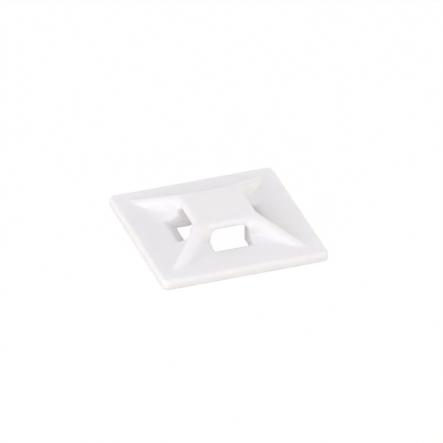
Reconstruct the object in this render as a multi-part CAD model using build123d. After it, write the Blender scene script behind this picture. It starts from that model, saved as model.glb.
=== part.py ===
from build123d import *
import math
import os

os.makedirs("parts", exist_ok=True)

# Cable tie mount, four-way: a square plate and a low bridge on four ribs, moulded as one piece.
# Sizes are in millimetres. +Z is up, and the origin is the middle of the plate's flat underside.
# All four sides are alike, so what belongs to one side or corner is made once and turned.

# Plate
plate_side = 28.0
plate_thickness = 1.6
plate_corner_radius = 1.2
plate_edge_radius = 0.7

# Tie passages: two channels that cross under the bridge and open through the underside
passage_width = 6.4
passage_corner_radius = 1.2
mouth_edge = 0.4            # chamfer of the windows' outer edges, rounding of the plate's opening
lip_reach = 2.6             # from the bridge's face out to the top of the ramp
ramp_run = 2.0              # how far the ramp leans in on its way down to the underside

# Bridge
bridge_rise = 3.45          # from the plate's top to the flat top of the bridge
bridge_roof_thickness = 1.1
bridge_post_width = 2.15
bridge_edge_radius = 0.75

# Ribs, from the bridge's corner (root) to near the plate's corner (tip). A rib has a narrow top,
# steep sides and a hollow cove at the foot of each side. Rises are above the plate's top, and the
# depths below it let the rib fade into the plate at its tip.
rib_tip_margin = 2.5        # from the plate's edges in to the rib's tip
rib_root_top_width = 1.7
rib_tip_top_width = 1.5
rib_draft = 0.2             # how far the steep sides lean out for each millimetre down
rib_edge_radius = 0.6
rib_root_drop = 0.2         # from the bridge's top down to the rib's top
rib_tip_depth = 0.1
cove_root_width = 2.15
cove_tip_width = 0.5
cove_root_rise = 0.7
cove_tip_depth = 0.4
foot_root_depth = 0.02
foot_tip_depth = 0.5

# Worked out from the sizes above
plate_top = plate_thickness
passage_wall = passage_width / 2
clearance = plate_top       # how far the cutting shapes reach past the underside
bridge_side = passage_width + 2 * bridge_post_width
bridge_face = bridge_side / 2
bridge_top = plate_top + bridge_rise
passage_top = bridge_top - bridge_roof_thickness
lip_distance = bridge_face + lip_reach
rib_root = bridge_face * math.sqrt(2)
rib_tip = (plate_side / 2 - rib_tip_margin) * math.sqrt(2)
rib_start = passage_wall * math.sqrt(2)
keel = plate_top / 2        # the ribs reach down to here inside the plate
quarter_turns = (0, 90, 180, 270)


def along_rib(reach, at_root, at_tip):
    """A size of the rib at this distance from the centre, on the line through its two ends."""
    return at_root + (at_tip - at_root) * (reach - rib_root) / (rib_tip - rib_root)


def rib_half_width(reach, height):
    """Half the width of the steep part of the rib, at this distance and height."""
    half_top = along_rib(reach, rib_root_top_width, rib_tip_top_width) / 2
    return half_top + rib_draft * (rib_crest(reach) - height)


def rib_crest(reach):
    return plate_top + along_rib(reach, bridge_rise - rib_root_drop, -rib_tip_depth)


def make_ridge():
    """The steep upper part of a rib, along +X, with its two long top edges rounded."""
    corners = []
    for reach in (rib_start, rib_tip):
        for height in (rib_crest(reach), keel):
            half_width = rib_half_width(reach, height)
            corners += [(reach, half_width, height), (reach, -half_width, height)]
    ridge = ConvexPolyhedron(corners)
    top = ridge.faces().sort_by(lambda face: face.normal_at().Z)[-1]
    return fillet(top.edges().sort_by(SortBy.LENGTH)[-2:], rib_edge_radius)


def cove_section(reach):
    """The outline across the diagonal of both coves and what is between them."""
    shoulder = plate_top + along_rib(reach, cove_root_rise, -cove_tip_depth)
    foot = plate_top - along_rib(reach, foot_root_depth, foot_tip_depth)
    half_shoulder = rib_half_width(reach, shoulder)
    half_foot = half_shoulder + along_rib(reach, cove_root_width, cove_tip_width)
    corner = (rib_half_width(reach, foot), foot)
    across = Plane(origin=(reach, 0, 0), x_dir=(0, 1, 0), z_dir=(1, 0, 0))
    with BuildSketch(across) as section:
        with BuildLine():
            Bezier((half_shoulder, shoulder), corner, (half_foot, foot))
            Line((half_foot, foot), (half_foot, keel))
            mirror(about=Plane.YZ)
            Line((-half_shoulder, shoulder), (half_shoulder, shoulder))
            Line((-half_foot, keel), (half_foot, keel))
        make_face()
    return section.sketch


def make_arm():
    """Space of one arm of the tie passages, along +X, from the core out to its ramped end."""
    slope = ramp_run / plate_top
    low_reach = lip_distance - slope * (plate_top + clearance)
    high_reach = lip_distance + slope * (passage_top - plate_top)
    low = -clearance
    corners = [(passage_wall, passage_top), (high_reach, passage_top), (low_reach, low), (passage_wall, low)]
    side = Polygon(*corners, align=None)
    opening = Pos(0, (passage_top + low) / 2) * Rectangle(passage_width, passage_top - low)
    opening = fillet(opening.vertices().group_by(Axis.Y)[-1], passage_corner_radius)
    return extrude(Plane.XZ * side, passage_wall, both=True) & extrude(Plane.YZ * opening, high_reach)


def make_crossing():
    """Space of both tie passages: a square core and four arms."""
    floor = Pos(0, 0, -clearance) * Rectangle(passage_width, passage_width)
    core = extrude(floor, passage_top + clearance)
    arm = make_arm()
    return core + [Rot(0, 0, turn) * arm for turn in quarter_turns]


def make_mouth():
    """Space outside the bridge along +X, slightly flared, where no rib covers the softened edges."""
    flared_wall = passage_wall + mouth_edge
    flare_top = plate_top + cove_root_rise
    side = [(passage_wall, plate_top - mouth_edge), (flared_wall, flare_top), (flared_wall, passage_top)]
    other_side = [(-across, height) for across, height in reversed(side)]
    start = bridge_face - mouth_edge
    profile = Plane.YZ.offset(start) * Polygon(*side, *other_side, align=None)
    return extrude(profile, lip_distance - start)


def make_plate(crossing):
    """The square plate, with its rounded rim and the ramped cross through it."""
    plate = extrude(RectangleRounded(plate_side, plate_side, plate_corner_radius), plate_thickness)
    rim = plate.faces().sort_by(Axis.Z)[-1].edges()
    plate = fillet(rim, plate_edge_radius) - crossing
    cross_outline = plate.faces().sort_by(Axis.Z)[-1].inner_wires()[0].edges()
    return fillet(cross_outline, mouth_edge)


def is_window_edge(edge):
    """Whether the edge bounds a window in one of the bridge's four faces."""
    margin = 0.01
    middle = edge.position_at(0.5)
    sideways, outward = sorted((abs(middle.X), abs(middle.Y)))
    in_face = abs(outward - bridge_face) < margin and sideways < passage_wall + margin
    return in_face and margin < middle.Z < passage_top + margin


def make_bridge(crossing):
    """The bridge down to the underside, hollowed by the crossing."""
    block = extrude(Rectangle(bridge_side, bridge_side), bridge_top)
    rim = block.faces().sort_by(Axis.Z)[-1].edges()
    block = fillet(rim, bridge_edge_radius) - crossing
    return chamfer(block.edges().filter_by(is_window_edge), mouth_edge)


def make_rib(crossing):
    """One rib, on the diagonal between +X and +Y, cut back at the passages and their mouths."""
    coves = loft([cove_section(rib_start), cove_section(rib_tip)], ruled=True)
    rib = Rot(0, 0, 45) * (make_ridge() + coves)
    rib &= extrude(Rectangle(plate_side, plate_side), bridge_top)
    mouth = make_mouth()
    return rib - [crossing, mouth, Rot(0, 0, 90) * mouth]


crossing = make_crossing()
rib = make_rib(crossing)
ribs = [Rot(0, 0, turn) * rib for turn in quarter_turns]
mount_body = make_plate(crossing) + make_bridge(crossing) + ribs
export_step(mount_body, "parts/mount_body.step")
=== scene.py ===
import math

import bpy
from mathutils import Matrix, Vector


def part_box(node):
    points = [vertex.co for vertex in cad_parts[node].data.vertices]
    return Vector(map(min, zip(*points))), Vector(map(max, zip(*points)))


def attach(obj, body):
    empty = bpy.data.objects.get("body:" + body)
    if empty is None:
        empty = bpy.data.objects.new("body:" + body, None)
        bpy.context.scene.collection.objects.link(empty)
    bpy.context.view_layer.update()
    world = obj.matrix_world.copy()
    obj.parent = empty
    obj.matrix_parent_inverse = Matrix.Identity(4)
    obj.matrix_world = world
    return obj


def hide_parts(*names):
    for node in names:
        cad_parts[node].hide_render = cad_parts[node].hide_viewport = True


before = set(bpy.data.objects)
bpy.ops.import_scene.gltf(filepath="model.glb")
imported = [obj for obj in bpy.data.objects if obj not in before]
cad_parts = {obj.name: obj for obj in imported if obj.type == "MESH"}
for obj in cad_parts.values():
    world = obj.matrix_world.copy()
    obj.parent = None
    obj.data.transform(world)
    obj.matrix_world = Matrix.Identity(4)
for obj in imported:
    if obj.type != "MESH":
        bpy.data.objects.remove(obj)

# Cable tie mount: one white nylon moulding. Lengths are in metres, +Z is up.
scene = bpy.context.scene
white = (1.0, 1.0, 1.0, 1.0)
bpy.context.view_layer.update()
cadLow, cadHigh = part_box("mount_body")
print("frame loaded, box", [round(side, 5) for side in cadHigh - cadLow])

# A rib's sizes are given at its root, by the bridge's corner, and at its tip, near the plate's corner.
moulding = {
    "Plate side": cadHigh.x - cadLow.x,
    "Plate thickness": 0.0016,
    "Plate corner radius": 0.0012,
    "Plate edge radius": 0.00068,
    "Sole edge radius": 0.00012,
    "Bridge top": cadHigh.z,
    "Bridge side": 0.0107,
    "Bridge edge radius": 0.00085,
    "Roof thickness": 0.0011,
    "Passage width": 0.0064,
    "Passage corner radius": 0.0012,
    "Post corner blend": 0.0005,    # inner corners, where the passages cross
    "Mouth edge radius": 0.00025,   # windows, lips of the plate's opening, cut ends of the coves
    "Lip reach": 0.0025,            # from the bridge's face to the top of the ramp
    "Ramp run": 0.0020,             # how far the ramp leans in on its way down
    "Rib tip margin": 0.0025,       # from the plate's edges in to the rib's tip
    "Rib root drop": 0.0002,        # below the top of the bridge
    "Rib tip depth": 0.0001,        # below the top of the plate
    "Rib root width": 0.00165,
    "Rib tip width": 0.0014,
    "Rib draft": 0.2,               # lean of the rib's sides, sideways over down
    "Rib edge radius": 0.0007,
    "Shoulder drop": 0.00006,       # keeps the rib under the flat top of the bridge
    "Cove root width": 0.00215,
    "Cove tip width": 0.0005,
    "Cove root rise": 0.0007,
    "Cove tip depth": 0.0004,
    "Cove bow": 1.25,               # 1 is a flat slope, 2 a quarter of an ellipse
    "Cove bank": 4.5,               # slope of the cove's end up from a passage, up over sideways
    "Foot root depth": 0.00002,
    "Foot tip depth": 0.0005,
    "Foot blend": 0.00025,          # how softly the rib runs into the plate
    "Bridge blend": 0.0018,         # how softly both run into the bridge
    "Blend fade": 0.0012,           # the depth below the bridge's top where that blend is in full
    "Blend rise": 0.0014,           # the height above the plate where that blend is in full
    "Blend share at top": 0.05,     # what is left of it at the bridge's top
    "Blend share at plate": 0.2,    # what is left of it at the plate
    "Voxel": 0.00015,
}

# The skin is drawn where a density is at the level. It falls from 1 to 0 across a band of voxels.
skin = {
    "level": 0.5,
    "bandVoxels": 6.0,
    "marginVoxels": 3.0,    # free space round the moulding
}

# What keeps the slope of a cove defined past its two ends
coveLimits = {
    "leastRise": 0.00005,
    "leastShare": 0.02,
    "footFall": 0.5,        # how the slope goes on down past the foot, inside the plate
}


class Wire:
    # A number in a node tree. Sums of wires add Math nodes.
    def __init__(self, tree, socket):
        self.tree = tree
        self.socket = socket

    def math(self, operation, *others):
        node = self.tree.nodes.new("ShaderNodeMath")
        node.operation = operation
        for place, value in enumerate((self, *others)):
            if isinstance(value, Wire):
                self.tree.links.new(value.socket, node.inputs[place])
            else:
                node.inputs[place].default_value = value
        return Wire(self.tree, node.outputs[0])

    def __add__(self, other):
        return self.math("ADD", other)

    def __sub__(self, other):
        return self.math("SUBTRACT", other)

    def __mul__(self, other):
        return self.math("MULTIPLY", other)

    def __truediv__(self, other):
        return self.math("DIVIDE", other)

    def __pow__(self, other):
        return self.math("POWER", other)

    def __neg__(self):
        return self.math("MULTIPLY", -1.0)


def larger(first, second):
    return first.math("MAXIMUM", second)


def smaller(first, second):
    return first.math("MINIMUM", second)


def length(first, second):
    return (first * first + second * second).math("SQRT")


def slopeLength(slope):
    # How long a slope is for each unit that it covers.
    return (slope * slope + 1.0).math("SQRT")


def between(start, end, share):
    return start + (end - start) * share


def roundedBoth(first, second, radius):
    # Inside both shapes, with the edge where they meet rounded.
    firstIn = first + radius
    secondIn = second + radius
    outside = length(larger(firstIn, 0.0), larger(secondIn, 0.0))
    return smaller(larger(firstIn, secondIn), 0.0) + outside - radius


def softEither(first, second, blend):
    # Inside either shape, with a soft hollow where they meet.
    reach = larger(blend - (first - second).math("ABSOLUTE"), 0.0)
    return smaller(first, second) - reach * reach / (blend * 4.0)


def plateOutline(size, along, aside):
    # Distance to the plate's outline, seen from above.
    cornerRadius = size["Plate corner radius"]
    cornerFree = size["Plate side"] * 0.5 - cornerRadius
    corner = length(larger(along - cornerFree, 0.0), larger(aside - cornerFree, 0.0))
    return corner + smaller(along - cornerFree, 0.0) - cornerRadius


def ribDistance(size, along, aside, z):
    # The rib with its coves. "reach" is out along the diagonal, "off" across it.
    diagonal = math.sqrt(2)
    plateTop = size["Plate thickness"]
    reach = (along + aside) / diagonal
    off = (along - aside) / diagonal
    root = size["Bridge side"] * 0.5 * diagonal
    tip = (size["Plate side"] * 0.5 - size["Rib tip margin"]) * diagonal
    share = (reach - root) / (tip - root)

    # crest and steep sides
    crestRoot = size["Bridge top"] - size["Rib root drop"]
    crestTip = plateTop - size["Rib tip depth"]
    crest = between(crestRoot, crestTip, share)
    fall = (crestRoot - crestTip) / (tip - root)
    halfTop = between(size["Rib root width"], size["Rib tip width"], share) * 0.5
    draft = size["Rib draft"]
    ribTop = (z - crest) / slopeLength(fall)
    flank = (off - halfTop - (crest - z) * draft) / slopeLength(draft)

    # cove: a hollow slope between the rib's side and the foot
    coveWidth = between(size["Cove root width"], size["Cove tip width"], share)
    shoulder = plateTop + between(size["Cove root rise"], -size["Cove tip depth"], share)
    foot = plateTop - between(size["Foot root depth"], size["Foot tip depth"], share)
    coveRise = larger(shoulder - foot, coveLimits["leastRise"])
    beyond = larger(flank - coveWidth, 0.0)
    lift = z - foot + beyond * coveLimits["footFall"]
    sideways = larger(-(flank / coveWidth) + 1.0, coveLimits["leastShare"])
    upward = larger(-(lift / coveRise) + 1.0, coveLimits["leastShare"])
    bow = size["Cove bow"]
    hollow = (sideways ** bow + upward ** bow) ** (bow ** -1.0)
    sideSteepness = (sideways / hollow) ** (bow - 1.0) / coveWidth
    upSteepness = (upward / hollow) ** (bow - 1.0) / coveRise
    cove = (-hollow + 1.0) / length(sideSteepness, upSteepness)

    # beside a passage the cove ends in a bank
    bank = size["Cove bank"]
    wall = size["Passage width"] * 0.5
    coveEnd = (z - plateTop - (aside - wall) * bank) / slopeLength(bank)
    return roundedBoth(larger(cove, coveEnd), ribTop, size["Rib edge radius"])


def passageDistance(size, along, aside, z):
    # The space of the two tie passages, with a ramp at the end of each arm.
    plateTop = size["Plate thickness"]
    slope = size["Ramp run"] / plateTop
    lip = size["Bridge side"] * 0.5 + size["Lip reach"]
    ramp = (along - lip - (z - plateTop) * slope) / slopeLength(slope)
    ceiling = size["Bridge top"] - size["Roof thickness"]
    across = softEither(along, aside, size["Post corner blend"]) - size["Passage width"] * 0.5
    passage = roundedBoth(across, z - ceiling, size["Passage corner radius"])
    return larger(passage, ramp)


def mouldingDistance(size, x, y, z):
    # Distance to the moulding's surface, below 0 inside. All eight eighths are alike, so the place is
    # folded into one: "along" runs out through a passage, "aside" across it.
    x = x.math("ABSOLUTE")
    y = y.math("ABSOLUTE")
    along = larger(x, y)
    aside = smaller(x, y)
    plateTop = size["Plate thickness"]
    bridgeTop = size["Bridge top"]
    outline = plateOutline(size, along, aside)
    plate = roundedBoth(outline, z - plateTop, size["Plate edge radius"])
    bridge = roundedBoth(along - size["Bridge side"] * 0.5, z - bridgeTop, size["Bridge edge radius"])

    # the rib keeps half an edge radius inside the plate's outline, and under the bridge's flat top
    rib = ribDistance(size, along, aside, z)
    rib = larger(rib, outline + size["Plate edge radius"] * 0.5)
    rib = larger(rib, z - bridgeTop + size["Shoulder drop"])

    # the blend into the bridge fades out up to the flat top and down to the plate
    below = larger(-(z - bridgeTop) / size["Blend fade"], size["Blend share at top"])
    above = larger((z - plateTop) / size["Blend rise"], size["Blend share at plate"])
    bridgeBlend = size["Bridge blend"] * smaller(below, 1.0) * smaller(above, 1.0)
    solid = softEither(softEither(plate, rib, size["Foot blend"]), bridge, bridgeBlend)
    solid = roundedBoth(solid, -passageDistance(size, along, aside, z), size["Mouth edge radius"])
    return roundedBoth(solid, -z, size["Sole edge radius"])


def makeDensityBox(tree, size):
    # A box of voxels round the moulding, filled with the density that the skin is drawn from.
    nodes, links = tree.nodes, tree.links
    split = nodes.new("ShaderNodeSeparateXYZ")
    links.new(nodes.new("GeometryNodeInputPosition").outputs[0], split.inputs[0])
    x, y, z = (Wire(tree, output) for output in split.outputs)
    voxel = size["Voxel"]
    distance = mouldingDistance(size, x, y, z)
    density = -(distance / (voxel * skin["bandVoxels"])) + skin["level"]

    margin = voxel * skin["marginVoxels"]
    acrossMax = size["Plate side"] * 0.5 + margin
    highMax = size["Bridge top"] + margin
    lowCorner = nodes.new("ShaderNodeCombineXYZ")
    highCorner = nodes.new("ShaderNodeCombineXYZ")
    spans = [(-acrossMax, acrossMax), (-acrossMax, acrossMax), (-margin, highMax)]
    for place, (low, high) in enumerate(spans):
        links.new(low.socket, lowCorner.inputs[place])
        links.new(high.socket, highCorner.inputs[place])

    box = nodes.new("GeometryNodeVolumeCube")
    box.inputs["Background"].default_value = 0.0
    links.new(density.socket, box.inputs["Density"])
    links.new(lowCorner.outputs[0], box.inputs["Min"])
    links.new(highCorner.outputs[0], box.inputs["Max"])
    links.new((acrossMax * 2.0 / voxel).socket, box.inputs["Resolution X"])
    links.new((acrossMax * 2.0 / voxel).socket, box.inputs["Resolution Y"])
    links.new(((highMax + margin) / voxel).socket, box.inputs["Resolution Z"])
    return box


def makeMouldingTree(material):
    tree = bpy.data.node_groups.new("moulding", "GeometryNodeTree")
    nodes = tree.nodes
    tree.interface.new_socket(name="Geometry", in_out="INPUT", socket_type="NodeSocketGeometry")
    tree.interface.new_socket(name="Geometry", in_out="OUTPUT", socket_type="NodeSocketGeometry")
    sockets = {}
    for name in moulding:
        sockets[name] = tree.interface.new_socket(name=name, in_out="INPUT", socket_type="NodeSocketFloat")
    groupInput = nodes.new("NodeGroupInput")
    size = {name: Wire(tree, groupInput.outputs[name]) for name in moulding}

    box = makeDensityBox(tree, size)
    surface = nodes.new("GeometryNodeVolumeToMesh")
    surface.resolution_mode = "GRID"
    surface.inputs["Threshold"].default_value = skin["level"]
    surface.inputs["Adaptivity"].default_value = 0.0
    smooth = nodes.new("GeometryNodeSetShadeSmooth")
    realize = nodes.new("GeometryNodeRealizeInstances")
    paint = nodes.new("GeometryNodeSetMaterial")
    paint.inputs["Material"].default_value = material
    chain = [box, surface, smooth, realize, paint, nodes.new("NodeGroupOutput")]
    for before, after in zip(chain, chain[1:]):
        tree.links.new(before.outputs[0], after.inputs[0])
    return tree, sockets


def makeMoulding(material):
    tree, sockets = makeMouldingTree(material)
    seed = bpy.data.objects.new("seed", bpy.data.meshes.new("seed"))
    scene.collection.objects.link(seed)
    modifier = seed.modifiers.new("moulding", "NODES")
    modifier.node_group = tree
    for name, value in moulding.items():
        modifier[sockets[name].identifier] = value
    made = seed.evaluated_get(bpy.context.evaluated_depsgraph_get())
    mesh = bpy.data.meshes.new_from_object(made)
    bpy.data.objects.remove(seed)
    body = bpy.data.objects.new("mountBody", mesh)
    scene.collection.objects.link(body)
    mesh.calc_loop_triangles()
    print("moulding made,", len(mesh.vertices), "points,", len(mesh.loop_triangles), "triangles")
    return body


# The grain is what the mould's spark-eroded skin leaves. Patches and grains are numbers per metre.
nylon = {
    "colour": (0.864, 0.846, 0.873, 1.0),
    "patchColour": (0.852, 0.833, 0.859, 1.0),
    "patchesPerMetre": 420.0,
    "patchDetail": 3.0,
    "patchEdges": (0.36, 0.64),     # of the noise, where one colour is in full and where the other
    "roughness": (0.46, 0.58),
    "sheenPatchesPerMetre": 900.0,
    "sheenDetail": 4.0,
    "sheenEdges": (0.3, 0.7),       # of the noise, where each roughness is in full
    "flowPerMetre": 260.0,
    "flowDetail": 1.0,
    "flowDepth": 0.00004,
    "grainsPerMetre": 5200.0,
    "grainDetail": 2.0,
    "grainDepth": 0.000016,
    "translucency": 0.4,
    "scatterScale": 0.0013,
    "scatterRadius": (1.0, 0.75, 0.5),
}


def makeNylon():
    material = bpy.data.materials.new("whiteNylon")
    material.use_nodes = True
    nodes, links = material.node_tree.nodes, material.node_tree.links
    shader = nodes["Principled BSDF"]
    shader.inputs["Subsurface Weight"].default_value = nylon["translucency"]
    shader.inputs["Subsurface Scale"].default_value = nylon["scatterScale"]
    shader.inputs["Subsurface Radius"].default_value = nylon["scatterRadius"]
    place = nodes.new("ShaderNodeTexCoord").outputs["Object"]

    def makeNoise(perMetre, detail):
        noise = nodes.new("ShaderNodeTexNoise")
        noise.inputs["Scale"].default_value = perMetre
        noise.inputs["Detail"].default_value = detail
        links.new(place, noise.inputs["Vector"])
        return noise.outputs["Fac"]

    def makeBump(height, depth, before=None):
        bump = nodes.new("ShaderNodeBump")
        bump.inputs["Distance"].default_value = depth
        links.new(height, bump.inputs["Height"])
        if before:
            links.new(before, bump.inputs["Normal"])
        return bump.outputs["Normal"]

    # cloudy patches a few millimetres wide
    clouds = nodes.new("ShaderNodeValToRGB")
    colours = (nylon["patchColour"], nylon["colour"])
    for element, edge, colour in zip(clouds.color_ramp.elements, nylon["patchEdges"], colours):
        element.position = edge
        element.color = colour
    links.new(makeNoise(nylon["patchesPerMetre"], nylon["patchDetail"]), clouds.inputs["Fac"])
    links.new(clouds.outputs["Color"], shader.inputs["Base Color"])

    # glossier and duller patches
    sheen = nodes.new("ShaderNodeMapRange")
    sheenLow, sheenHigh = nylon["sheenEdges"]
    glossy, dull = nylon["roughness"]
    sheen.inputs["From Min"].default_value = sheenLow
    sheen.inputs["From Max"].default_value = sheenHigh
    sheen.inputs["To Min"].default_value = glossy
    sheen.inputs["To Max"].default_value = dull
    links.new(makeNoise(nylon["sheenPatchesPerMetre"], nylon["sheenDetail"]), sheen.inputs["Value"])
    links.new(sheen.outputs["Result"], shader.inputs["Roughness"])

    # long soft unevenness of the moulding, with the fine grain on it
    flow = makeBump(makeNoise(nylon["flowPerMetre"], nylon["flowDetail"]), nylon["flowDepth"])
    grain = makeNoise(nylon["grainsPerMetre"], nylon["grainDetail"])
    links.new(makeBump(grain, nylon["grainDepth"], flow), shader.inputs["Normal"])
    return material


body = makeMoulding(makeNylon())
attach(body, "root")
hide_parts("mount_body")

# The camera stands where the photograph was taken from. The pixel is where the part's origin shows.
camera = {
    "azimuth": -19.14,              # degrees
    "elevation": 31.97,
    "focalPixels": 8750.0,
    "pixelsPerMetre": 6247.0,       # at the origin
    "framePixels": 443.0,
    "originPixel": (218.2, 231.85),
    "sensorWidth": 36.0,            # millimetres
    "clipShares": (0.1, 10.0),      # of the distance to the origin
}


def makeCamera():
    azimuth = math.radians(camera["azimuth"])
    elevation = math.radians(camera["elevation"])
    level = math.cos(elevation)
    right = Vector((math.cos(azimuth), math.sin(azimuth), 0))
    back = Vector((math.sin(azimuth) * level, -math.cos(azimuth) * level, math.sin(elevation)))
    up = back.cross(right)
    distance = camera["focalPixels"] / camera["pixelsPerMetre"]
    half = camera["framePixels"] / 2
    originRight, originDown = camera["originPixel"]
    shiftRight = (half - originRight) / camera["pixelsPerMetre"]
    shiftUp = (originDown - half) / camera["pixelsPerMetre"]

    data = bpy.data.cameras.new("camera")
    data.sensor_width = camera["sensorWidth"]
    data.lens = camera["focalPixels"] / camera["framePixels"] * data.sensor_width
    nearShare, farShare = camera["clipShares"]
    data.clip_start = distance * nearShare
    data.clip_end = distance * farShare
    eye = bpy.data.objects.new("camera", data)
    turn = Matrix((right, up, back)).transposed().to_4x4()
    eye.matrix_world = Matrix.Translation(right * shiftRight + up * shiftUp + back * distance) @ turn
    scene.collection.objects.link(eye)
    scene.camera = eye


makeCamera()

studio = {
    "floorSide": 3.0,
    "floorColour": (0.91, 0.84, 0.76, 1.0),
    "floorDrop": 0.00002,       # gap under the part
    "floorGlow": 0.98,          # how white the floor looks, with a trace of the part's shadow left
    "worldStrength": 0.713,
}

# Round lamps that face the part. Place and width are in metres, power in watts.
lamps = {
    "left": {
        "place": (-0.426, 0.0, 0.199),
        "width": 0.3,
        "power": 0.54,
        "colour": (0.98, 0.985, 0.99),
    },
    "front": {
        "place": (-0.144, -0.397, 0.206),
        "width": 0.3,
        "power": 0.58,
        "colour": (0.97, 0.985, 1.0),
    },
    "right": {
        "place": (0.465, 0.0, 0.065),
        "width": 0.3,
        "power": 0.545,
        "colour": (1.0, 0.965, 0.76),
    },
    "rim": {
        "place": (0.183, 0.432, 0.036),
        "width": 0.065,
        "power": 0.12,
        "colour": (1.0, 1.0, 1.0),
    },
}


def seenDirectly(nodes, links):
    # 1 for rays from the camera and for reflections, 0 for the light that the surroundings give
    path = nodes.new("ShaderNodeLightPath")
    either = nodes.new("ShaderNodeMath")
    either.operation = "MAXIMUM"
    links.new(path.outputs["Is Camera Ray"], either.inputs[0])
    links.new(path.outputs["Is Glossy Ray"], either.inputs[1])
    return either.outputs[0]


def makePaleFloor():
    material = bpy.data.materials.new("paleFloor")
    material.use_nodes = True
    nodes, links = material.node_tree.nodes, material.node_tree.links
    nodes.clear()
    diffuse = nodes.new("ShaderNodeBsdfDiffuse")
    diffuse.inputs["Color"].default_value = studio["floorColour"]
    glow = nodes.new("ShaderNodeEmission")
    glow.inputs["Color"].default_value = white
    share = nodes.new("ShaderNodeMath")
    share.operation = "MULTIPLY"
    share.inputs[1].default_value = studio["floorGlow"]
    links.new(seenDirectly(nodes, links), share.inputs[0])
    mix = nodes.new("ShaderNodeMixShader")
    links.new(share.outputs[0], mix.inputs[0])
    links.new(diffuse.outputs[0], mix.inputs[1])
    links.new(glow.outputs[0], mix.inputs[2])
    output = nodes.new("ShaderNodeOutputMaterial")
    links.new(mix.outputs[0], output.inputs["Surface"])
    return material


def makeFloor():
    half = studio["floorSide"] / 2
    low = -studio["floorDrop"]
    corners = [(-half, -half, low), (half, -half, low), (half, half, low), (-half, half, low)]
    mesh = bpy.data.meshes.new("floor")
    mesh.from_pydata(corners, [], [(0, 1, 2, 3)])
    mesh.materials.append(makePaleFloor())
    floor = bpy.data.objects.new("floor", mesh)
    scene.collection.objects.link(floor)


def makeLamp(name):
    lamp = lamps[name]
    data = bpy.data.lights.new(name, "AREA")
    data.shape = "DISK"
    data.size = lamp["width"]
    data.energy = lamp["power"]
    data.color = lamp["colour"]
    stand = bpy.data.objects.new(name, data)
    stand.location = lamp["place"]
    stand.rotation_euler = Vector(lamp["place"]).to_track_quat("Z", "Y").to_euler()
    scene.collection.objects.link(stand)


def makeWorld():
    world = bpy.data.worlds.new("studio")
    world.use_nodes = True
    nodes, links = world.node_tree.nodes, world.node_tree.links
    background = nodes["Background"]
    background.inputs["Color"].default_value = white
    strength = nodes.new("ShaderNodeMapRange")
    strength.inputs["To Min"].default_value = studio["worldStrength"]
    strength.inputs["To Max"].default_value = 1.0
    links.new(seenDirectly(nodes, links), strength.inputs["Value"])
    links.new(strength.outputs[0], background.inputs["Strength"])
    scene.world = world


makeFloor()
makeWorld()
for name in lamps:
    makeLamp(name)
scene.view_settings.view_transform = "Standard"
print("camera, floor and lamps placed")
